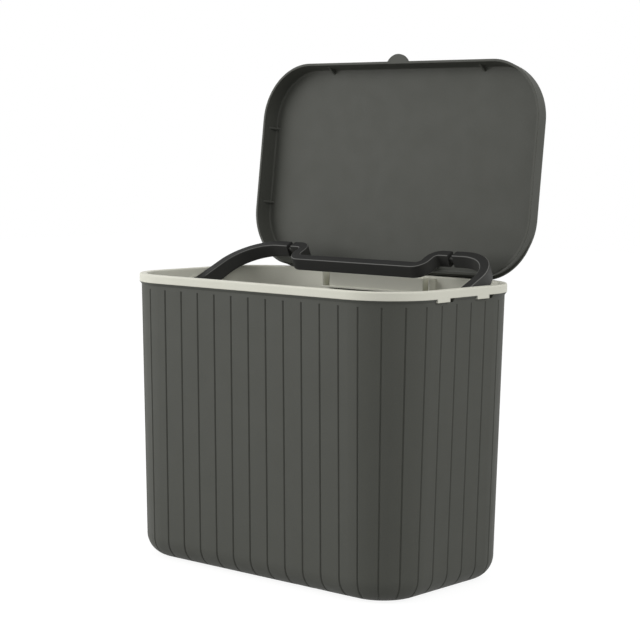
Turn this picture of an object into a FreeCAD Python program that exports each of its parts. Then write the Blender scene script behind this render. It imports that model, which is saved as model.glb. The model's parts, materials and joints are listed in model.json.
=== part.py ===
import FreeCAD, Part
import math
import os

import Sketcher
from FreeCAD import Placement, Rotation, Vector

# A kitchen trash can with a grooved body, a lift-off bag rim, a hinged lid and a carrying bail.
# X runs along the long sides, the front faces -Y, +Z is up, and the origin is the middle of the base.
# Lengths are in millimetres and angles in degrees.
SIZES = [
    ("rim_length", 300, "rim band, outside along X"),
    ("rim_width", 175, "rim band, outside along Y"),
    ("rim_top", 240, "rim band, height of its top face"),
    ("rim_corner", 48, "rim band, outside corner radius in plan"),
    ("band_height", 6.7, "rim band, height"),
    ("band_round", 1.2, "rim band, edge rounding"),
    ("skirt_wall", 1.8, "bag skirt inside the rim, thickness"),
    ("skirt_drop", 27, "bag skirt, depth below the band"),
    ("skirt_clearance", 0.4, "bag skirt, gap to the body wall at its lower edge"),
    ("body_wall", 2, "body, wall thickness"),
    ("body_floor", 2.4, "body, floor thickness"),
    ("body_draft", 5.4, "body, inset of the base on each side"),
    ("base_round", 19, "body, rounding between wall and floor"),
    ("collar_height", 2.5, "smooth collar at the top of the body, height"),
    ("collar_step", 1.8, "smooth collar, how far it flares out"),
    ("groove_count", 46, "vertical grooves round the body"),
    ("groove_stop", 5.2, "groove, top end below the rim band"),
    ("groove_width", 1.9, "groove, width at the surface"),
    ("groove_depth", 1, "groove, depth"),
    ("groove_turn", 78, "groove, how far it follows the base rounding"),
    ("notch_width", 22, "clip notch in the body top edge, width"),
    ("notch_depth", 3.2, "clip notch, depth"),
    ("notch_offset", 25.5, "clip notch, middle from the centre line"),
    ("clip_width", 15.5, "rim clip, width"),
    ("clip_clearance", 0.4, "rim clip, gap to the notch"),
    ("lid_end_inset", 0.4, "lid, inset from the rim at the short sides"),
    ("lid_side_overhang", 2.6, "lid, overhang past the rim at the front and back"),
    ("lid_corner", 50, "lid, outside corner radius in plan"),
    ("lid_gap", 1, "lid edge above the rim when closed"),
    ("lid_depth", 14.8, "lid, depth inside"),
    ("lid_wall", 2, "lid, wall thickness"),
    ("lid_draft", 2, "lid skirt, inset at the panel on each side"),
    ("lid_round", 6, "lid, outer edge rounding"),
    ("lid_inner_round", 1.6, "lid, inner edge rounding"),
    ("lid_open_angle", 96.5, "lid, angle between closed and open"),
    ("tab_chord", 22, "thumb tab, width where it leaves the lid"),
    ("tab_reach", 6.4, "thumb tab, how far it stands out"),
    ("tab_thickness", 2.2, "thumb tab, thickness"),
    ("bead_rise", 9.3, "stop bead across the lid's back, above the lid's edge"),
    ("bead_reach", 2.5, "stop bead, how far it stands out"),
    ("bead_thickness", 2, "stop bead, thickness"),
    ("gusset_wall", 1.8, "lid gusset, thickness"),
    ("gusset_reach", 4.5, "lid gusset, reach along the panel"),
    ("gusset_height", 9, "lid gusset, height on the skirt"),
    ("gusset_side", 33.5, "lid gussets on the short sides, from the middle"),
    ("gusset_front", 82, "lid gussets on the front, from the middle"),
    ("hinge_rise", 5.8, "hinge axis above the rim top"),
    ("hinge_inset", 2.7, "hinge axis in front of the rim's back face"),
    ("hinge_half", 46, "hinge lugs, outer face from the middle"),
    ("hinge_pin_radius", 1.6, "hinge pin, radius"),
    ("lug_radius", 3.2, "hinge lug, radius round the pin"),
    ("lug_width", 8, "hinge lug, width along X"),
    ("lug_root", 4, "hinge lug, depth let into the band"),
    ("ear_wall", 3, "lid hinge ear, thickness"),
    ("ear_reach", 6, "lid hinge ear, reach along the panel"),
    ("ear_gap", 0.5, "side gap between lug and ear"),
    ("cover_half", 59.2, "hinge cover, half length"),
    ("cover_post", 1.5, "hinge cover, end post thickness"),
    ("cover_slot", 6.5, "hinge cover, slot between end post and panel"),
    ("cover_depth", 7.4, "hinge cover, how far it stands off the skirt"),
    ("cover_wall", 2, "hinge cover, thickness"),
    ("cover_top_gap", 2, "hinge cover, top edge below the rim top"),
    ("cover_drop", 14, "hinge cover, top of its ledge below the rim top"),
    ("ledge_height", 1.4, "hinge cover, ledge height"),
    ("ledge_reach", 1, "hinge cover, ledge in front of its panel"),
    ("pivot_drop", 15.3, "handle pivot axis below the rim top"),
    ("pivot_sink", 9, "handle pivot, how far it sinks in its slot"),
    ("pivot_radius", 4, "handle pivot pin, radius"),
    ("pivot_head_radius", 6.6, "handle pivot pin head, radius"),
    ("pivot_head", 1.6, "handle pivot pin head, thickness"),
    ("boss_radius", 9, "pivot boss on the skirt, radius"),
    ("arm_gap", 1.2, "handle arm to the skirt"),
    ("running_gap", 0.4, "side gap of the turning pieces"),
    ("bore_clearance", 0.05, "radial clearance of pins in their bores"),
    ("handle_angle", 25.4, "handle at rest, tilt above level"),
    ("strap_thickness", 8.5, "handle strap, thickness in the bail's plane"),
    ("strap_width", 11.2, "handle strap, width across the bail's plane"),
    ("arm_width", 14, "handle arm, strap width at the pivot"),
    ("strap_round", 1, "handle strap, edge rounding"),
    ("eye_radius", 7.4, "handle arm, radius of the eye at the pivot"),
    ("shoulder_gap", 3, "level handle to the skirt at the back"),
    ("arm_bend", 38, "handle arm, bend radius"),
    ("shoulder_run", 9.7, "handle arm, straight shoulder after the bend"),
    ("grip_shoulder", 16, "grip, from its end to the step"),
    ("grip_offset", 21.5, "grip bar, set nearer to the pivot axis than the shoulders"),
    ("grip_bend", 8, "grip, bend radius at the step"),
    ("joint_gap", 4.5, "gap between grip and arm"),
    ("joint_pin_radius", 2.7, "pin joining grip and arm, radius"),
    ("joint_pin_seat", 7, "pin joining grip and arm, depth in each"),
]

doc = FreeCAD.newDocument("trash_can")
sheet = doc.addObject("Spreadsheet::Sheet", "Sizes")
for row, (alias, number, note) in enumerate(SIZES, 1):
    sheet.set(f"A{row}", note)
    sheet.set(f"B{row}", str(number))
    sheet.setAlias(f"B{row}", alias)
doc.recompute()


class Size:
    """A length together with the sheet expression that drives it."""

    def __init__(self, value, text):
        self.value = value
        self.text = text

    def __add__(self, other):
        other = as_size(other)
        return Size(self.value + other.value, f"({self.text} + {other.text})")

    def __sub__(self, other):
        other = as_size(other)
        return Size(self.value - other.value, f"({self.text} - {other.text})")

    def __mul__(self, other):
        other = as_size(other)
        return Size(self.value * other.value, f"({self.text} * {other.text})")

    def __truediv__(self, other):
        other = as_size(other)
        return Size(self.value / other.value, f"({self.text} / {other.text})")

    def __neg__(self):
        return Size(-self.value, f"(0 - {self.text})")


def as_size(value):
    return value if isinstance(value, Size) else Size(value, str(value))


def cell(name):
    """The size in one cell of the sheet."""
    return Size(float(sheet.get(name)), f"Sizes.{name}")


ZERO = as_size(0)

# Places that several pieces share.
BAND_BOTTOM = cell("rim_top") - cell("band_height")
RIM_OUTLINE = (cell("rim_length"), cell("rim_width"), cell("rim_corner"))
COLLAR_FOOT = BAND_BOTTOM - cell("collar_height")
WALL_INSET = cell("collar_step") + cell("body_wall")
SKIRT_FALL = cell("body_draft") * (cell("skirt_drop") - cell("collar_height")) / COLLAR_FOOT
SKIRT_INSET = WALL_INSET + SKIRT_FALL + cell("skirt_clearance")
LIP_WIDTH = SKIRT_INSET + cell("skirt_wall")
INSIDE_X = cell("rim_length") / 2 - LIP_WIDTH
INSIDE_Y = cell("rim_width") / 2 - LIP_WIDTH
HINGE_Y = cell("rim_width") / 2 - cell("hinge_inset")
HINGE_Z = cell("rim_top") + cell("hinge_rise")
LID_LENGTH = cell("rim_length") - cell("lid_end_inset") * 2
LID_WIDTH = cell("rim_width") + cell("lid_side_overhang") * 2
LID_BACK = LID_WIDTH / 2 - HINGE_Y
PIVOT_Z = cell("rim_top") - cell("pivot_drop")
PIVOT_LOW = PIVOT_Z - cell("pivot_sink")
ARM_OUTSIDE = INSIDE_X - cell("arm_gap")
ARM_X = ARM_OUTSIDE - cell("strap_thickness") / 2
ARM_INSIDE = ARM_OUTSIDE - cell("strap_thickness")
ARM_END = ARM_X - cell("arm_bend") - cell("shoulder_run")
SHOULDER = INSIDE_Y - cell("shoulder_gap") - cell("strap_thickness") / 2
GRIP_END = ARM_END - cell("joint_gap")


def bind(thing, **properties):
    """Ties each named property of a document object to a size."""
    for name, amount in properties.items():
        thing.setExpression(name.replace("__", "."), as_size(amount).text)


SUB_PARTS = []


def sub_part(thing, label):
    """Marks a document object as a finished sub-part."""
    thing.Label = label
    SUB_PARTS.append(thing)
    return thing


def new_body(name):
    return doc.addObject("PartDesign::Body", name)


def origin_plane(body, role):
    return next(item for item in body.Origin.OriginFeatures if item.Role == role)


def new_sketch(body, name, plane, offset=ZERO, shift_y=ZERO):
    """A sketch on one of the body's own origin planes, raised by offset."""
    sketch = body.newObject("Sketcher::SketchObject", name)
    sketch.AttachmentSupport = (origin_plane(body, plane), [""])
    sketch.MapMode = "FlatFace"
    bind(sketch, AttachmentOffset__Base__z=offset, AttachmentOffset__Base__y=shift_y)
    return sketch


def dimension(sketch, kind, *places, amount):
    """Adds a dimension that the sheet drives, counted positive whichever side of the origin it lies."""
    if amount.value < 0:
        places = places[2:] + places[:2]
        amount = -amount
    index = sketch.addConstraint(Sketcher.Constraint(kind, *places, amount.value))
    sketch.setExpression(f"Constraints[{index}]", amount.text)


def pin_point(sketch, geometry, point, x=None, y=None):
    """Fixes a point of the sketch by its distances from the origin."""
    for kind, amount in (("DistanceX", x), ("DistanceY", y)):
        if amount is not None:
            dimension(sketch, kind, -1, 1, geometry, point, amount=amount)


def fillet_arc(centre, radius, start, end):
    circle = Part.Circle(Vector(*centre, 0), Vector(0, 0, 1), radius)
    return Part.ArcOfCircle(circle, math.radians(start), math.radians(end))


def line(start, end):
    return Part.LineSegment(Vector(*start, 0), Vector(*end, 0))


def draw_rounded(sketch, length, width, corner):
    """Draws a rectangle with round corners, centred on the sketch's origin."""
    x, y, r = length.value / 2, width.value / 2, corner.value
    first = sketch.GeometryCount
    sides = [
        line((r - x, -y), (x - r, -y)),
        line((x, r - y), (x, y - r)),
        line((x - r, y), (r - x, y)),
        line((-x, y - r), (-x, r - y)),
    ]
    arcs = [
        fillet_arc((x - r, r - y), r, 270, 360),
        fillet_arc((x - r, y - r), r, 0, 90),
        fillet_arc((r - x, y - r), r, 90, 180),
        fillet_arc((r - x, r - y), r, 180, 270),
    ]
    sketch.addGeometry(sides + arcs, False)
    for k in range(4):
        side, arc, following = first + k, first + 4 + k, first + (k + 1) % 4
        sketch.addConstraint(Sketcher.Constraint("Tangent", side, 2, arc, 1))
        sketch.addConstraint(Sketcher.Constraint("Tangent", arc, 2, following, 1))
        sketch.addConstraint(Sketcher.Constraint("Vertical" if k % 2 else "Horizontal", side))
    for k in range(3):
        sketch.addConstraint(Sketcher.Constraint("Equal", first + 4 + k, first + 5 + k))
    sketch.addConstraint(Sketcher.Constraint("Symmetric", first + 4, 3, first + 6, 3, -1, 1))
    dimension(sketch, "DistanceX", first + 3, 1, first + 1, 1, amount=length)
    dimension(sketch, "DistanceY", first, 1, first + 2, 1, amount=width)
    dimension(sketch, "Radius", first + 4, amount=corner)


def rounded_section(body, name, height, length, width, corner, shift_y=ZERO):
    sketch = new_sketch(body, name, "XY_Plane", height, shift_y)
    draw_rounded(sketch, length, width, corner)
    return sketch


def draw_rectangle(sketch, low_x, low_y, high_x, high_y):
    """Draws a rectangle between two corners."""
    corners = [
        (low_x.value, low_y.value),
        (high_x.value, low_y.value),
        (high_x.value, high_y.value),
        (low_x.value, high_y.value),
    ]
    first = sketch.GeometryCount
    sketch.addGeometry([line(corners[k], corners[(k + 1) % 4]) for k in range(4)], False)
    for k in range(4):
        sketch.addConstraint(Sketcher.Constraint("Coincident", first + k, 2, first + (k + 1) % 4, 1))
        sketch.addConstraint(Sketcher.Constraint("Vertical" if k % 2 else "Horizontal", first + k))
    pin_point(sketch, first, 1, low_x, low_y)
    pin_point(sketch, first + 2, 1, high_x, high_y)


def draw_polygon(sketch, points):
    """Draws a closed outline through points given as pairs of sizes."""
    first = sketch.GeometryCount
    count = len(points)
    places = [(x.value, y.value) for x, y in points]
    sketch.addGeometry([line(places[k], places[(k + 1) % count]) for k in range(count)], False)
    for k, (x, y) in enumerate(points):
        following = first + (k + 1) % count
        sketch.addConstraint(Sketcher.Constraint("Coincident", first + k, 2, following, 1))
        pin_point(sketch, first + k, 1, x, y)


def draw_circle(sketch, x, y, radius):
    circle = Part.Circle(Vector(x.value, y.value, 0), Vector(0, 0, 1), radius.value)
    index = sketch.addGeometry(circle, False)
    pin_point(sketch, index, 3, x, y)
    dimension(sketch, "Radius", index, amount=radius)


def loft(body, name, sections):
    feature = body.newObject("PartDesign::AdditiveLoft", name)
    feature.Profile = sections[0]
    feature.Sections = sections[1:]
    feature.Ruled = True
    doc.recompute()
    return feature


def pad(body, name, sketch, length, midplane=False, reverse=False):
    feature = body.newObject("PartDesign::Pad", name)
    feature.Profile = sketch
    feature.Midplane = midplane
    feature.Reversed = reverse
    bind(feature, Length=length)
    doc.recompute()
    return feature


def pocket(body, name, sketch, length, midplane=False, reverse=False):
    """Cuts a sketch out of the body, and makes sure that it cut something."""
    before = body.Shape.Volume
    feature = body.newObject("PartDesign::Pocket", name)
    feature.Profile = sketch
    feature.Midplane = midplane
    feature.Reversed = reverse
    bind(feature, Length=length)
    doc.recompute()
    if body.Shape.Volume >= before:
        raise RuntimeError(f"{name} cuts nothing")
    return feature


def fillet(body, name, radius, chosen):
    """Rounds the edges of the body's last feature that pass the test."""
    base = body.Tip
    names = [f"Edge{k}" for k, edge in enumerate(base.Shape.Edges, 1) if chosen(edge)]
    feature = body.newObject("PartDesign::Fillet", name)
    feature.Base = (base, names)
    bind(feature, Radius=radius)
    doc.recompute()
    return feature


def lies_at_height(item, height):
    """Whether an edge or face lies level at one height."""
    bounds = item.BoundBox
    return abs(bounds.ZMin - height) < 0.01 and abs(bounds.ZMax - height) < 0.01


def drafted_block(name, outline, bottom, top, spread, rounding, round_height, shift_y=ZERO):
    """A block with sloping sides and one rounded end, which widens by spread on each side as it rises."""
    body = new_body(name)
    sketch = rounded_section(body, f"{name}_outline", bottom, *outline, shift_y)
    prism = pad(body, f"{name}_prism", sketch, top - bottom)
    faces = {f"Face{k}": face for k, face in enumerate(prism.Shape.Faces, 1)}
    floor = next(key for key, face in faces.items() if lies_at_height(face, bottom.value))
    roof = next(key for key, face in faces.items() if lies_at_height(face, top.value))
    slope = body.newObject("PartDesign::Draft", f"{name}_draft")
    slope.Base = (prism, [key for key in faces if key not in (floor, roof)])
    slope.NeutralPlane = (prism, [floor])
    slope.Reversed = spread.value > 0
    rise = spread if spread.value > 0 else -spread
    slope.setExpression("Angle", f"atan({rise.text} / {(top - bottom).text})")
    doc.recompute()
    fillet(body, f"{name}_rounding", rounding, lambda edge: lies_at_height(edge, round_height.value))
    return body


def inset_outline(length, width, corner, inset):
    """A rounded rectangle's length, width and corner, all drawn in by the same amount."""
    return length - inset * 2, width - inset * 2, corner - inset


def box(name, low, high):
    """A block between two corners given as triples of sizes."""
    block = doc.addObject("Part::Box", name)
    for prop, axis, start, end in zip(("Length", "Width", "Height"), "xyz", low, high):
        block.setExpression(prop, (as_size(end) - start).text)
        block.setExpression(f"Placement.Base.{axis}", as_size(start).text)
    return block


def rod(name, start, length, radius, y=ZERO, z=ZERO):
    """A round bar along +X."""
    cylinder = doc.addObject("Part::Cylinder", name)
    cylinder.Placement = Placement(Vector(), Rotation(Vector(0, 1, 0), 90))
    bind(cylinder, Radius=radius, Height=length)
    bind(cylinder, Placement__Base__x=start, Placement__Base__y=y, Placement__Base__z=z)
    return cylinder


def slot_bar(name, start, length, radius):
    """A bar along +X with a round-ended section, as tall as the handle pivot's travel asks."""
    head = rod(f"{name}_head", start, length, radius, z=PIVOT_Z)
    foot = rod(f"{name}_foot", start, length, radius, z=PIVOT_LOW)
    middle = box(f"{name}_middle", (start, -radius, PIVOT_LOW), (start + length, radius, PIVOT_Z))
    return fuse(name, [head, foot, middle])


def mirrored(thing, name):
    """The same piece on the other side of the middle plane."""
    copy = doc.addObject("Part::Mirroring", name)
    copy.Source = thing
    copy.Normal = Vector(1, 0, 0)
    return copy


def fuse(name, pieces):
    union = doc.addObject("Part::MultiFuse", name)
    union.Shapes = pieces
    union.Refine = True
    doc.recompute()
    return union


def cut(name, base, tool):
    difference = doc.addObject("Part::Cut", name)
    difference.Base = base
    difference.Tool = tool
    difference.Refine = True
    doc.recompute()
    return difference


# Body shell
def groove_cutters():
    """One V-shaped cutter for each groove, run down the drafted wall and round the base."""
    count = int(cell("groove_count").value)
    depth = cell("groove_depth").value
    width = cell("groove_width").value
    proud = depth / 2
    draft = cell("body_draft").value
    corner = cell("rim_corner").value
    corner_low = corner - cell("collar_step").value - draft
    flat_x = cell("rim_length").value / 2 - corner
    flat_y = cell("rim_width").value / 2 - corner
    top = (BAND_BOTTOM - cell("groove_stop")).value
    slope = draft / COLLAR_FOOT.value
    lean = math.hypot(1, slope)
    bend = cell("base_round").value
    bend_reach = corner_low + slope * bend - bend * lean
    arc_length = math.pi / 2 * (corner_low + draft)
    pitch = (4 * flat_x + 4 * flat_y + 4 * arc_length) / count
    turn_end = math.radians(cell("groove_turn").value)

    def station(distance):
        """Root point and outward heading of the wall, counted round from the middle of the front."""
        runs = [(flat_x, 0), (arc_length, 90), (2 * flat_y, 0), (arc_length, 90), (2 * flat_x, 0),
                (arc_length, 90), (2 * flat_y, 0), (arc_length, 90), (flat_x, 0)]
        root = Vector(0, -flat_y, 0)
        heading = -90
        for length, turn in runs:
            share = min(distance / length, 1)
            if turn == 0:
                along = math.radians(heading + 90)
                root = root + Vector(math.cos(along), math.sin(along), 0) * (share * length)
            heading += turn * share
            distance -= length
            if distance <= 0:
                break
        return root, heading

    cutters = []
    for k in range(count):
        root, heading = station(k * pitch)
        # The profile plane holds the outward heading as its local X and the height as its local Y.
        place = Placement(root, Rotation(Vector(0, 0, 1), heading)).multiply(
            Placement(Vector(), Rotation(Vector(1, 0, 0), 90)))

        def spot(reach, height, side=0):
            return place.multVec(Vector(reach, height, side))

        def round_spot(angle):
            return spot(bend_reach + bend * math.cos(angle), bend + bend * math.sin(angle))

        tangent = -math.atan(slope)
        wall = Part.makeLine(spot(corner_low + slope * top, top), round_spot(tangent))
        turn = Part.Arc(round_spot(tangent), round_spot((tangent - turn_end) / 2), round_spot(-turn_end))
        start = corner_low + slope * top
        half = width / 2 * (depth + proud) / depth
        profile = Part.makePolygon([
            spot(start - depth, top),
            spot(start + proud, top, half),
            spot(start + proud, top, -half),
            spot(start - depth, top),
        ])
        cutters.append(Part.Wire([wall, turn.toShape()]).makePipeShell([profile], True, True))
    return Part.makeCompound(cutters)


def make_body_shell():
    low_inset = cell("collar_step") + cell("body_draft")
    outside = inset_outline(*RIM_OUTLINE, low_inset)
    inside = inset_outline(*outside, cell("body_wall"))
    floor = cell("body_floor")
    rounding = cell("base_round")
    block = drafted_block("body_block", outside, ZERO, COLLAR_FOOT, cell("body_draft"), rounding, ZERO)
    loft(block, "collar", [
        rounded_section(block, "collar_foot", COLLAR_FOOT, *inset_outline(*RIM_OUTLINE, cell("collar_step"))),
        rounded_section(block, "collar_top", BAND_BOTTOM, *RIM_OUTLINE),
    ])
    notches = new_sketch(block, "notch_outline", "YZ_Plane")
    for side in (-1, 1):
        middle = cell("notch_offset") * side
        draw_rectangle(notches, middle - cell("notch_width") / 2, BAND_BOTTOM - cell("notch_depth"),
                       middle + cell("notch_width") / 2, BAND_BOTTOM + cell("notch_depth"))
    pocket(block, "clip_notches", notches, cell("rim_length"), midplane=True)
    cutters = doc.addObject("Part::Feature", "groove_cutters")
    cutters.Shape = groove_cutters()
    core_rise = cell("body_draft") * (BAND_BOTTOM - floor) / COLLAR_FOOT
    inner_round = rounding - cell("body_wall")
    core = drafted_block("body_core", inside, floor, BAND_BOTTOM, core_rise, inner_round, floor)
    sub_part(cut("hollow_body", cut("grooved_block", block, cutters), core), "body_shell")


# Rim frame
def make_rim_frame():
    body = new_body("rim_ring")

    def ring(name, height, outer_inset):
        sketch = rounded_section(body, name, height, *inset_outline(*RIM_OUTLINE, outer_inset))
        draw_rounded(sketch, *inset_outline(*RIM_OUTLINE, LIP_WIDTH))
        return sketch

    pad(body, "band", ring("band_outline", BAND_BOTTOM, ZERO), cell("band_height"))
    top = cell("rim_top").value
    fillet(body, "band_rounding", cell("band_round"), lambda edge: lies_at_height(edge, top))
    skirt = ring("skirt_outline", BAND_BOTTOM, SKIRT_INSET)
    pad(body, "skirt", skirt, cell("skirt_drop"), reverse=True)
    window = new_sketch(body, "window_outline", "XZ_Plane")
    half = cell("cover_half") - cell("cover_post") - cell("cover_slot") - cell("cover_wall")
    draw_rectangle(window, -half, BAND_BOTTOM - cell("skirt_drop") - cell("skirt_wall"), half, BAND_BOTTOM)
    pocket(body, "hinge_window", window, cell("rim_width") / 2)

    extras = [body]
    outside_x = cell("rim_length") / 2
    for side in (-1, 1):
        clip_start = cell("notch_offset") * side - cell("notch_width") / 2 + cell("clip_clearance")
        clip_bottom = BAND_BOTTOM - cell("notch_depth") + cell("clip_clearance")
        clip = box(f"clip_{'front' if side < 0 else 'back'}",
                   (outside_x - cell("body_wall"), clip_start, clip_bottom),
                   (outside_x, clip_start + cell("clip_width"), BAND_BOTTOM + cell("band_height") / 2))
        extras += [clip, mirrored(clip, f"{clip.Name}_left")]
    boss_face = ARM_OUTSIDE + cell("running_gap")
    boss_root = INSIDE_X + cell("skirt_wall") / 2
    boss = slot_bar("pivot_boss", boss_face, boss_root - boss_face, cell("boss_radius"))
    lug_start = cell("hinge_half") - cell("lug_width")
    lug_foot = box("lug_foot",
                   (lug_start, HINGE_Y - cell("lug_radius"), cell("rim_top") - cell("lug_root")),
                   (cell("hinge_half"), cell("rim_width") / 2, HINGE_Z))
    lug_eye = rod("lug_eye", lug_start, cell("lug_width"), cell("lug_radius"), HINGE_Y, HINGE_Z)
    for piece in (boss, lug_foot, lug_eye):
        extras += [piece, mirrored(piece, f"{piece.Name}_left")]
    solid = fuse("rim_solid", extras)
    pivot_slot = slot_bar("pivot_slot", -cell("rim_length") / 2, cell("rim_length"),
                          cell("pivot_radius") + cell("bore_clearance"))
    hinge_bore = rod("hinge_bore", -cell("rim_length") / 2, cell("rim_length"),
                     cell("hinge_pin_radius") + cell("bore_clearance"), HINGE_Y, HINGE_Z)
    bores = fuse("rim_bores", [pivot_slot, hinge_bore])
    sub_part(cut("bored_rim", solid, bores), "rim_frame")


def make_hinge_cover():
    """A hollow panel between two end posts on a ledge, set on the inside of the rim below the hinge."""
    half = cell("cover_half")
    wall = cell("cover_wall")
    post = half - cell("cover_post")
    panel = post - cell("cover_slot")
    back = INSIDE_Y
    front = back - cell("cover_depth")
    lip = front - cell("ledge_reach")
    top = cell("rim_top") - cell("cover_top_gap")
    bottom = cell("rim_top") - cell("cover_drop")
    block = box("cover_block", (-panel, front, bottom), (panel, back, top))
    inner = panel - wall
    hollow = box("cover_hollow", (-inner, front + wall, bottom), (inner, back + wall, top - wall))
    right_post = box("cover_post", (post, lip, bottom), (half, back, top))
    ledge = box("cover_ledge", (-half, lip, bottom - cell("ledge_height")), (half, back, bottom))
    pieces = [cut("cover_panel", block, hollow), right_post, mirrored(right_post, "cover_post_left"), ledge]
    sub_part(fuse("ledged_cover", pieces), "hinge_cover")


# Lid, drawn closed with its origin on the hinge axis
def make_lid():
    middle_y = -HINGE_Y
    edge = cell("lid_gap") - cell("hinge_rise")
    panel = edge + cell("lid_depth")
    crown = panel + cell("lid_wall")
    wall = cell("lid_wall")
    outside = (LID_LENGTH, LID_WIDTH, cell("lid_corner"))
    inside = inset_outline(*outside, wall)
    spread = -cell("lid_draft")
    body = drafted_block("lid_block", outside, edge, crown, spread, cell("lid_round"), crown, middle_y)
    core = drafted_block("lid_core", inside, edge, panel, spread, cell("lid_inner_round"), panel, middle_y)
    tab = new_sketch(body, "tab_outline", "XY_Plane", edge, middle_y)
    reach = cell("tab_reach")
    chord = cell("tab_chord").value
    tab_radius = (chord * chord / 4 + reach.value * reach.value) / (2 * reach.value)
    front = -LID_WIDTH / 2
    draw_tab(tab, front, reach, cell("tab_chord"), wall / 2, tab_radius)
    pad(body, "thumb_tab", tab, cell("tab_thickness"))

    # The bead stands out at the back alone, where it stops the open lid against the rim.
    inset = cell("lid_draft")
    bead_outline = inset_outline(*outside, inset)
    bead_slope = inset * cell("bead_rise") / (crown - edge)
    bead_shift = middle_y + cell("bead_reach") + inset - bead_slope
    bead = rounded_section(body, "bead_outline", edge + cell("bead_rise"), *bead_outline, bead_shift)
    pad(body, "stop_bead", bead, cell("bead_thickness"))

    # The back skirt is slotted for the two hinge lugs, and rounded off where it swings past the rim.
    slots = new_sketch(body, "slot_outline", "XZ_Plane")
    slot_out = cell("hinge_half") + cell("ear_gap")
    slot_in = cell("hinge_half") - cell("lug_width") - cell("ear_gap")
    slot_top = cell("lug_radius") + cell("ear_gap") * 2
    draw_rectangle(slots, slot_in, edge - wall, slot_out, slot_top)
    draw_rectangle(slots, -slot_out, edge - wall, -slot_in, slot_top)
    pocket(body, "lug_slots", slots, (LID_BACK + wall) * 2, midplane=True)

    half = LID_LENGTH / 2
    swing_room = rod("swing_room", -half, LID_LENGTH, cell("hinge_rise") - cell("running_gap"))
    corner_block = box("relief_block", (-half, ZERO, edge - wall), (half, LID_BACK + wall, ZERO))
    back_relief = cut("back_relief", corner_block, swing_room)
    pan = cut("relieved_pan", cut("lid_pan", body, core), back_relief)
    gussets = lid_gussets(panel)
    ear = lid_ear(slot_out, panel)
    knuckle = rod("ear_eye", slot_out, cell("ear_wall"), cell("lug_radius"))
    pieces = [pan] + gussets + [ear, mirrored(ear, "ear_left"), knuckle, mirrored(knuckle, "ear_eye_left")]
    bore_end = slot_out + cell("ear_wall") + cell("ear_gap")
    bore = rod("ear_bore", -bore_end, bore_end * 2, cell("hinge_pin_radius") + cell("bore_clearance"))
    lid = cut("bored_lid", fuse("lid_solid", pieces), bore)
    bind(lid, Placement__Base__y=HINGE_Y, Placement__Base__z=HINGE_Z)
    lid.Placement.Rotation = Rotation(Vector(1, 0, 0), -cell("lid_open_angle").value)
    sub_part(lid, "lid_shell")


def draw_tab(sketch, front, reach, chord, root, radius):
    """Draws the thumb tab: a round segment on the lid's front edge, rooted in its skirt."""
    centre = front.value - reach.value + radius
    half = chord.value / 2
    swing = math.degrees(math.asin(half / radius))
    arc = fillet_arc((0, centre), radius, 270 - swing, 270 + swing)
    back = front.value + root.value
    sketch.addGeometry([
        arc,
        line((half, front.value), (half, back)),
        line((half, back), (-half, back)),
        line((-half, back), (-half, front.value)),
    ], False)
    for k in range(4):
        sketch.addConstraint(Sketcher.Constraint("Coincident", k, 2, (k + 1) % 4, 1))
    sketch.addConstraint(Sketcher.Constraint("Vertical", 1))
    sketch.addConstraint(Sketcher.Constraint("Vertical", 3))
    pin_point(sketch, 1, 1, chord / 2, front)
    pin_point(sketch, 3, 2, -chord / 2, front)
    pin_point(sketch, 1, 2, y=front + root)
    pin_point(sketch, 3, 1, y=front + root)
    bottom = sketch.addGeometry(Part.Point(Vector(0, front.value - reach.value, 0)), True)
    sketch.addConstraint(Sketcher.Constraint("PointOnObject", bottom, 1, 0))
    pin_point(sketch, bottom, 1, ZERO, front - reach)


def wedge(name, points, start, thickness, plane):
    """A flat triangular or four-sided rib, raised from an outline on one of the origin planes."""
    body = new_body(name)
    sketch = new_sketch(body, f"{name}_outline", plane, start)
    draw_polygon(sketch, points)
    pad(body, f"{name}_rib", sketch, thickness)
    return body


def lid_gussets(panel):
    """Small ribs between the lid's skirt and its panel: two on each short side and two on the front."""
    wall = cell("lid_wall")
    reach = cell("gusset_reach")
    thickness = cell("gusset_wall")
    root = wall / 2
    head = panel + root
    foot = panel - cell("gusset_height")
    corner = cell("lid_inner_round") / 2
    skirt_x = LID_LENGTH / 2 - wall - cell("lid_draft")
    ribs = []
    for side in (-1, 1):
        place = "front" if side < 0 else "back"
        points = [(skirt_x - reach, head), (skirt_x - corner, head),
                  (skirt_x + root, panel - corner), (skirt_x + root, foot)]
        start = HINGE_Y + cell("gusset_side") * side - thickness / 2
        rib = wedge(f"gusset_{place}", points, start, thickness, "XZ_Plane")
        ribs += [rib, mirrored(rib, f"gusset_{place}_left")]
    skirt_y = -LID_WIDTH / 2 - HINGE_Y + wall + cell("lid_draft")
    points = [(skirt_y + reach, head), (skirt_y + corner, head),
              (skirt_y - root, panel - corner), (skirt_y - root, foot)]
    rib = wedge("gusset_lip", points, cell("gusset_front") - thickness / 2, thickness, "YZ_Plane")
    return ribs + [rib, mirrored(rib, "gusset_lip_left")]


def lid_ear(start, panel):
    """The rib that carries the hinge pin, between the panel and the axis."""
    wall = cell("lid_wall")
    root = wall / 2
    back = LID_BACK - root
    back_high = back - cell("lid_draft")
    corner = cell("lid_inner_round") / 2
    points = [
        (back_high - cell("ear_reach"), panel + root),
        (-cell("lug_radius"), ZERO),
        (back, ZERO),
        (back_high, panel - corner),
        (back_high - corner, panel + root),
    ]
    return wedge("ear", points, start, cell("ear_wall"), "YZ_Plane")


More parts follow.
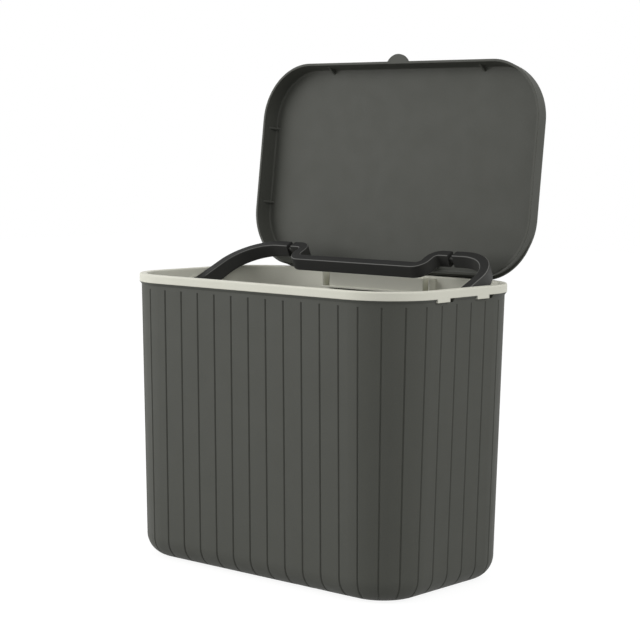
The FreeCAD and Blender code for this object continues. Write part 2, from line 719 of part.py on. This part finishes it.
# Handle, drawn flat in its own plane: X along the pivot axis, Y along the arms
def draw_path(sketch, corners, radius):
    """Draws an open path through corners that run along X and Y in turn, with equal bends between."""
    runs = len(corners) - 1
    r = radius.value
    places = [(x.value, y.value) for x, y in corners]
    headings = []
    for (ax, ay), (bx, by) in zip(places, places[1:]):
        span = math.hypot(bx - ax, by - ay)
        headings.append(((bx - ax) / span, (by - ay) / span))
    straights = []
    bends = []
    for k, (hx, hy) in enumerate(headings):
        start_trim = r if k else 0
        end_trim = r if k < runs - 1 else 0
        ax, ay = places[k]
        bx, by = places[k + 1]
        start = (ax + hx * start_trim, ay + hy * start_trim)
        end = (bx - hx * end_trim, by - hy * end_trim)
        straights.append(line(start, end))
    for k in range(runs - 1):
        (hx, hy), (gx, gy) = headings[k], headings[k + 1]
        x, y = places[k + 1]
        centre = (x + (gx - hx) * r, y + (gy - hy) * r)
        heel = (x - hx * r - centre[0], y - hy * r - centre[1])
        begin = math.degrees(math.atan2(heel[1], heel[0]))
        left_turn = hx * gy - hy * gx > 0
        bends.append((fillet_arc(centre, r, begin, begin + 90) if left_turn
                      else fillet_arc(centre, r, begin - 90, begin), left_turn))
    sketch.addGeometry(straights + [arc for arc, _ in bends], False)
    for k, (hx, _) in enumerate(headings):
        sketch.addConstraint(Sketcher.Constraint("Horizontal" if abs(hx) > 0.5 else "Vertical", k))
    for k, (_, left_turn) in enumerate(bends):
        entry, leave = (1, 2) if left_turn else (2, 1)
        sketch.addConstraint(Sketcher.Constraint("Tangent", k, 2, runs + k, entry))
        sketch.addConstraint(Sketcher.Constraint("Tangent", runs + k, leave, k + 1, 1))
        if k:
            sketch.addConstraint(Sketcher.Constraint("Equal", runs, runs + k))
    dimension(sketch, "Radius", runs, amount=radius)
    pin_point(sketch, 0, 1, *corners[0])
    for k in range(1, runs):
        x, y = corners[k]
        along_x = abs(headings[k][0]) > 0.5
        pin_point(sketch, k, 1, *((None, y) if along_x else (x, None)))
    end_x, end_y = corners[-1]
    along_x = abs(headings[-1][0]) > 0.5
    pin_point(sketch, runs - 1, 2, *((end_x, None) if along_x else (None, end_y)))


def sweep(body, name, path, profile, end_profile=None):
    """Runs a section along a path, changing to the end section on the way if there is one."""
    feature = body.newObject("PartDesign::AdditivePipe", name)
    feature.Profile = profile
    if end_profile:
        feature.Transformation = "Multisection"
        feature.Sections = [end_profile]
    feature.Spine = (path, [f"Edge{k}" for k in range(1, len(path.Shape.Edges) + 1)])
    doc.recompute()
    return feature


def strap_profile(body, name, plane, offset, middle, width):
    """The strap's rounded section, centred on a point of the plane."""
    sketch = new_sketch(body, name, plane, offset)
    draw_rounded(sketch, cell("strap_thickness"), width, cell("strap_round"))
    bind(sketch, AttachmentOffset__Base__x=middle)
    return sketch


def make_arm():
    body = new_body("arm_right")
    path = new_sketch(body, "arm_path", "XY_Plane")
    draw_path(path, [(ARM_X, ZERO), (ARM_X, SHOULDER), (ARM_END, SHOULDER)], cell("arm_bend"))
    root = strap_profile(body, "arm_root", "XZ_Plane", ZERO, ARM_X, cell("arm_width"))
    tip = strap_profile(body, "arm_tip", "YZ_Plane", ARM_END, SHOULDER, cell("strap_width"))
    doc.recompute()
    sweep(body, "arm_strap", path, root, tip)
    eye = new_sketch(body, "eye_outline", "YZ_Plane", ARM_INSIDE)
    draw_circle(eye, ZERO, ZERO, cell("eye_radius"))
    pad(body, "pivot_eye", eye, cell("strap_thickness"))
    bore = new_sketch(body, "pivot_bore_outline", "YZ_Plane", ARM_INSIDE - cell("strap_thickness"))
    draw_circle(bore, ZERO, ZERO, cell("pivot_radius") + cell("bore_clearance"))
    pocket(body, "arm_bore", bore, cell("strap_thickness") * 3, reverse=True)
    socket = new_sketch(body, "arm_socket_outline", "YZ_Plane", ARM_END)
    draw_circle(socket, SHOULDER, ZERO, cell("joint_pin_radius") + cell("bore_clearance"))
    pocket(body, "arm_socket", socket, cell("joint_pin_seat"), reverse=True)
    set_in_bail(body)
    sub_part(body, "handle_arm_right")
    sub_part(mirrored(body, "arm_left"), "handle_arm_left")


def make_grip():
    body = new_body("grip_strap")
    path = new_sketch(body, "grip_path", "XY_Plane")
    reach = SHOULDER - cell("grip_offset")
    step = GRIP_END - cell("grip_shoulder")
    draw_path(path, [(ZERO, reach), (step, reach), (step, SHOULDER), (GRIP_END, SHOULDER)], cell("grip_bend"))
    section = strap_profile(body, "grip_section", "YZ_Plane", ZERO, reach, cell("strap_width"))
    doc.recompute()
    sweep(body, "grip_half", path, section)
    socket = new_sketch(body, "grip_socket_outline", "YZ_Plane", GRIP_END)
    draw_circle(socket, SHOULDER, ZERO, cell("joint_pin_radius") + cell("bore_clearance"))
    half = pocket(body, "grip_socket", socket, cell("joint_pin_seat"))
    mirror = body.newObject("PartDesign::Mirrored", "grip_mirror")
    mirror.Originals = [body.getObject("grip_half"), half]
    mirror.MirrorPlane = (origin_plane(body, "YZ_Plane"), [""])
    body.Tip = mirror
    doc.recompute()
    set_in_bail(body)
    sub_part(body, "handle_grip")


def set_in_bail(thing):
    """Places a handle piece on the pivot axis, tilted as the handle rests."""
    bind(thing, Placement__Base__z=PIVOT_Z)
    thing.Placement.Rotation = Rotation(Vector(1, 0, 0), cell("handle_angle").value)


# Pins
def make_pins():
    joint_pin = rod("joint_pin", GRIP_END - cell("joint_pin_seat"),
                    cell("joint_gap") + cell("joint_pin_seat") * 2, cell("joint_pin_radius"))
    angle = math.radians(cell("handle_angle").value)
    bind(joint_pin, Placement__Base__y=SHOULDER * math.cos(angle))
    bind(joint_pin, Placement__Base__z=PIVOT_Z + SHOULDER * math.sin(angle))
    lug_start = cell("hinge_half") - cell("lug_width")
    hinge_length = cell("lug_width") + cell("ear_gap") + cell("ear_wall")
    hinge_pin = rod("hinge_pin", lug_start, hinge_length, cell("hinge_pin_radius"), HINGE_Y, HINGE_Z)
    head_start = ARM_INSIDE - cell("running_gap") - cell("pivot_head")
    shank_end = INSIDE_X + cell("skirt_wall")
    shank = rod("pivot_shank", head_start, shank_end - head_start, cell("pivot_radius"), z=PIVOT_Z)
    head = rod("pivot_head", head_start, cell("pivot_head"), cell("pivot_head_radius"), z=PIVOT_Z)
    pivot_pin = fuse("pivot_pin", [shank, head])
    pins = {"grip_pin": joint_pin, "lid_hinge_pin": hinge_pin, "handle_pivot_pin": pivot_pin}
    for label, pin in pins.items():
        sub_part(pin, f"{label}_right")
        sub_part(mirrored(pin, f"{pin.Name}_left"), f"{label}_left")


make_body_shell()
make_rim_frame()
make_hinge_cover()
make_lid()
make_arm()
make_grip()
make_pins()
doc.recompute()

for thing in doc.Objects:
    if "Invalid" in thing.State or "Error" in thing.State:
        raise RuntimeError(f"{thing.Label} failed: {thing.State}")
for thing in SUB_PARTS:
    if thing.Shape.isNull() or not thing.Shape.isValid():
        raise RuntimeError(f"{thing.Label} has no valid shape")

os.makedirs("parts", exist_ok=True)
for thing in SUB_PARTS:
    thing.Shape.exportStep(f"parts/{thing.Label}.step")
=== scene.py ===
import json
import math

import bpy
from mathutils import Matrix, Vector


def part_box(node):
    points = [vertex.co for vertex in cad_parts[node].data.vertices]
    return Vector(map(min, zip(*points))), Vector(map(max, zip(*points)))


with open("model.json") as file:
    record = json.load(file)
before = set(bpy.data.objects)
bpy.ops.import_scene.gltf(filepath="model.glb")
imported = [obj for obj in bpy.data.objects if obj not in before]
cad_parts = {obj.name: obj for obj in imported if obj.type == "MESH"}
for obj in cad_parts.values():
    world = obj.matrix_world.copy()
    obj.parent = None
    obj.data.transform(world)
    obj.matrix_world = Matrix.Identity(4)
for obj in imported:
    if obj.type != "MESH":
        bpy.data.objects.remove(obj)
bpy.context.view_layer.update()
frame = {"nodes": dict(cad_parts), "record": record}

# Lengths are in metres, angles in degrees and powers in watts. Colours are linear.
# The range that most of a noise texture's values lie in, and the noises' features for each metre.
NOISE_RANGE = (0.3, 0.7)
TONE_NOISE = {"Scale": 16, "Detail": 3}
SPECKLE_NOISE = {"Scale": 1100, "Detail": 2}
ROUGHNESS_NOISE = {"Scale": 55, "Detail": 4}
GRAIN_NOISE = {"Scale": 1500, "Detail": 3}
ROUGHNESS_DRIFT = 0.03
GRAIN_HEIGHT = 0.0002

# Softened edges, and the cosines from the softened to the true normal between which the paler edge
# (partly wear, partly painted highlight) fades out.
EDGE_RADIUS = 0.0007
EDGE_SAMPLES = 6
WEAR_AND_HIGHLIGHT_FADE = (0.86, 0.995)

# The handle's strap: its tilt at rest, the painted shade of its broad faces against its sides, the
# cosines between which that painted shade sets in, how its painted edge highlights fade out, and how far
# from the pivot axis they begin.
STRAP_TILT = 25.4
STRAP_FACE_PAINTED_SHADE = 0.35
STRAP_PAINTED_SHADE_START = (0.85, 0.98)
STRAP_HIGHLIGHT_FADE = (0.12, 0.3)
STRAP_HIGHLIGHT_START = (0.009, 0.011)
MIDWAY = math.sqrt(0.5)

# edge_gain: how much paler the edges are, partly wear and partly painted highlight; on the handle's
# strap, a painted highlight.
PLASTICS = {
    "body": {
        "name": "dark_plastic", "colour": (0.068, 0.070, 0.060), "roughness": 0.62, "specular": 0.25,
        "drift": 0.012, "speckle": 0.04, "grain": 0.12, "edge_gain": 1.25, "is_strap": False,
    },
    "rim": {
        "name": "pale_plastic", "colour": (0.675, 0.67, 0.58), "roughness": 0.5, "specular": 0.3,
        "drift": 0.02, "speckle": 0.02, "grain": 0.1, "edge_gain": 1.05, "is_strap": False,
    },
    "handle": {
        "name": "black_plastic", "colour": (0.036, 0.036, 0.034), "roughness": 0.6, "specular": 0.2,
        "drift": 0.05, "speckle": 0.06, "grain": 0.12, "edge_gain": 4, "is_strap": True,
    },
}

# Studio: the floor's grey for bounced light, its grey and glow as the camera sees it, and the lamps.
WHITE = (1, 1, 1, 1)
FLOOR_BOUNCE = 0.5
FLOOR_SHADE = 0.2
FLOOR_GLOW = 0.89
FLOOR_REACH = 4
AMBIENT = 0.59
LIGHT_TARGET = Vector((0, 0, 0.2))
SOFTBOX_DISTANCE = 2.4
SOFTBOX_SIZE = 1.6
SOFTBOXES = [
    {"name": "softbox_left", "azimuth": -46, "elevation": 20, "power": 34},
    {"name": "softbox_right", "azimuth": 100, "elevation": 34, "power": 20},
]

# Camera, fitted to the photograph.
CAMERA_TARGET = Vector((0.0008, 0.00096, 0.20455))
CAMERA_DISTANCE = 1.4881
CAMERA_AZIMUTH = 40.72
CAMERA_ELEVATION = 5.63
CAMERA_ROLL = 0.6
FOCAL_PIXELS = 1803.12
IMAGE_PIXELS = 640
SENSOR_WIDTH_MM = 36


# Nodes
def new_tree(name):
    """An empty node material and its tree."""
    material = bpy.data.materials.new(name)
    material.use_nodes = True
    material.node_tree.nodes.clear()
    return material, material.node_tree


def add(tree, kind, inputs=None, **settings):
    """Adds a node, sets its options, and fills its inputs from values or from other nodes' outputs."""
    made = tree.nodes.new(f"ShaderNode{kind}")
    for key, value in settings.items():
        setattr(made, key, value)
    for key, value in (inputs or {}).items():
        if isinstance(value, bpy.types.NodeSocket):
            tree.links.new(value, made.inputs[key])
        else:
            made.inputs[key].default_value = value
    return made


def calculate(tree, operation, *values):
    """The result of an operation on numbers."""
    return add(tree, "Math", dict(enumerate(values)), operation=operation).outputs[0]


def combine(tree, operation, *vectors, result="Vector"):
    """The result of an operation on vectors."""
    return add(tree, "VectorMath", dict(enumerate(vectors)), operation=operation).outputs[result]


def noise(tree, place, settings):
    return add(tree, "TexNoise", {"Vector": place, **settings}).outputs["Fac"]


def spread(tree, value, low, high, source=NOISE_RANGE):
    """Maps a value from its source range onto the range from low to high."""
    mapped = add(tree, "MapRange", {
        "Value": value, "From Min": source[0], "From Max": source[1], "To Min": low, "To Max": high,
    })
    return mapped.outputs["Result"]


# Materials
def edge_wear_and_highlight(tree, soft, gain):
    """Paler along sharp edges, where the softened normal leaves the true one: partly wear, partly painted
    highlight.
    """
    true = add(tree, "NewGeometry").outputs["Normal"]
    bend = combine(tree, "DOT_PRODUCT", soft, true, result="Value")
    return spread(tree, bend, gain, 1, source=WEAR_AND_HIGHLIGHT_FADE)


def strap_highlight_and_shade(tree, gain):
    """Painted highlight along the strap's rounded edges, whose normals lie midway between its faces.

    Painted shade makes its broad faces darker than its sides, and its edges are plain round the pivots.
    """
    low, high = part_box("handle_pivot_pin_left")
    pivot = (0, (low[1] + high[1]) / 2, (low[2] + high[2]) / 2)
    where = add(tree, "TexCoord").outputs
    offset = combine(tree, "SUBTRACT", where["Object"], pivot)
    across = combine(tree, "MULTIPLY", offset, (0, 1, 1))
    reach = combine(tree, "LENGTH", across, result="Value")
    strap_highlight_gain = spread(tree, reach, 1, gain, source=STRAP_HIGHLIGHT_START)
    tilt = math.radians(STRAP_TILT)
    upright = (0, -math.sin(tilt), math.cos(tilt))
    lean = combine(tree, "DOT_PRODUCT", where["Normal"], upright, result="Value")
    steepness = calculate(tree, "ABSOLUTE", lean)
    off_edge = calculate(tree, "ABSOLUTE", calculate(tree, "SUBTRACT", steepness, MIDWAY))
    # Painted highlight: paler where the normal lies midway between the strap's faces, away from the
    # pivots.
    edge = spread(tree, off_edge, strap_highlight_gain, 1, source=STRAP_HIGHLIGHT_FADE)
    # Painted shade: darker where the normal lies along the strap's broad faces.
    face_shade = spread(tree, steepness, 1, STRAP_FACE_PAINTED_SHADE, source=STRAP_PAINTED_SHADE_START)
    return calculate(tree, "MULTIPLY", edge, face_shade)


def moulded_plastic(name, colour, roughness, specular, drift, speckle, grain, edge_gain, is_strap):
    """Moulded plastic with a slight drift of tone, fine speckle, a spark-eroded grain and paler edges,
    partly wear and partly painted highlight; on the strap, painted highlights on the edges and painted
    shade on the broad faces.
    """
    material, tree = new_tree(name)
    place = add(tree, "TexCoord").outputs["Object"]
    soft = add(tree, "Bevel", {"Radius": EDGE_RADIUS}, samples=EDGE_SAMPLES).outputs["Normal"]
    # Painted highlight on edges (with wear on the body and rim) and, on the strap, painted shade on its
    # broad faces.
    edge = strap_highlight_and_shade(tree, edge_gain) if is_strap else edge_wear_and_highlight(tree, soft, edge_gain)
    tone = spread(tree, noise(tree, place, TONE_NOISE), 1 - drift, 1 + drift)
    speck = spread(tree, noise(tree, place, SPECKLE_NOISE), 1 - speckle, 1 + speckle)
    amount = calculate(tree, "MULTIPLY", calculate(tree, "MULTIPLY", tone, speck), edge)
    tinted = add(tree, "VectorMath", {0: colour, "Scale": amount}, operation="SCALE")
    rough = spread(tree, noise(tree, place, ROUGHNESS_NOISE),
                   roughness - ROUGHNESS_DRIFT, roughness + ROUGHNESS_DRIFT)
    bump = add(tree, "Bump", {
        "Strength": grain,
        "Distance": GRAIN_HEIGHT,
        "Height": noise(tree, place, GRAIN_NOISE),
        "Normal": soft,
    })
    shader = add(tree, "BsdfPrincipled", {
        "Base Color": tinted.outputs["Vector"],
        "Roughness": rough,
        "Specular IOR Level": specular,
        "Normal": bump.outputs["Normal"],
    })
    add(tree, "OutputMaterial", {"Surface": shader.outputs["BSDF"]})
    return material


MATERIALS = {slot: moulded_plastic(**finish) for slot, finish in PLASTICS.items()}
for part in frame["record"]["subparts"]:
    for slot in frame["nodes"][part["node"]].material_slots:
        slot.material = MATERIALS[part["material_slot"]]


# Studio
def seen_directly(tree):
    """1 for rays from the camera and for those that mirrors and glass would pass on, otherwise 0."""
    path = add(tree, "LightPath").outputs
    mirrored = calculate(tree, "MAXIMUM", path["Is Glossy Ray"], path["Is Transmission Ray"])
    return calculate(tree, "MAXIMUM", path["Is Camera Ray"], mirrored)


def grey(level):
    return (level, level, level, 1)


def white_ground():
    """A floor that the camera sees as white with a faint shadow, and that bounces soft light."""
    material, tree = new_tree("floor_white")
    matt = add(tree, "BsdfDiffuse", {"Color": grey(FLOOR_BOUNCE)})
    faint = add(tree, "BsdfDiffuse", {"Color": grey(FLOOR_SHADE)})
    glow = add(tree, "Emission", {"Color": WHITE, "Strength": FLOOR_GLOW})
    white = add(tree, "AddShader", {0: faint.outputs[0], 1: glow.outputs[0]})
    mixed = add(tree, "MixShader", {0: seen_directly(tree), 1: matt.outputs[0], 2: white.outputs[0]})
    add(tree, "OutputMaterial", {"Surface": mixed.outputs[0]})
    mesh = bpy.data.meshes.new("floor")
    corners = [(x * FLOOR_REACH, y * FLOOR_REACH, 0) for x, y in ((-1, -1), (1, -1), (1, 1), (-1, 1))]
    mesh.from_pydata(corners, [], [(0, 1, 2, 3)])
    mesh.materials.append(material)
    floor = bpy.data.objects.new("floor", mesh)
    bpy.context.scene.collection.objects.link(floor)


def studio_world():
    """Soft white light from all round, and a plain white background."""
    world = bpy.data.worlds.new("studio")
    world.use_nodes = True
    tree = world.node_tree
    tree.nodes.clear()
    level = spread(tree, seen_directly(tree), AMBIENT, 1, source=(0, 1))
    light = add(tree, "Background", {"Color": WHITE, "Strength": level})
    add(tree, "OutputWorld", {"Surface": light.outputs[0]})
    bpy.context.scene.world = world


def direction(azimuth, elevation):
    """Unit vector from the object; azimuth 0 is the front and 90 the right side."""
    turn = math.radians(azimuth)
    rise = math.radians(elevation)
    return Vector((math.sin(turn) * math.cos(rise), -math.cos(turn) * math.cos(rise), math.sin(rise)))


def softbox(name, azimuth, elevation, power):
    """A square area light aimed at the middle of the object."""
    light = bpy.data.lights.new(name, "AREA")
    light.size = SOFTBOX_SIZE
    light.energy = power
    lamp = bpy.data.objects.new(name, light)
    heading = direction(azimuth, elevation)
    lamp.location = LIGHT_TARGET + heading * SOFTBOX_DISTANCE
    lamp.rotation_mode = "QUATERNION"
    lamp.rotation_quaternion = heading.to_track_quat("Z", "Y")
    bpy.context.scene.collection.objects.link(lamp)


def photo_camera():
    """A camera at the photograph's angle, with its width of view."""
    data = bpy.data.cameras.new("camera")
    data.sensor_width = SENSOR_WIDTH_MM
    data.lens = FOCAL_PIXELS / IMAGE_PIXELS * SENSOR_WIDTH_MM
    camera = bpy.data.objects.new("camera", data)
    back = direction(CAMERA_AZIMUTH, CAMERA_ELEVATION)
    roll = Matrix.Rotation(math.radians(CAMERA_ROLL), 4, "Z")
    turn = back.to_track_quat("Z", "Y").to_matrix().to_4x4() @ roll
    camera.matrix_world = Matrix.Translation(CAMERA_TARGET + back * CAMERA_DISTANCE) @ turn
    bpy.context.scene.collection.objects.link(camera)
    bpy.context.scene.camera = camera


white_ground()
studio_world()
for lamp_settings in SOFTBOXES:
    softbox(**lamp_settings)
photo_camera()
bpy.context.scene.view_settings.view_transform = "Standard"
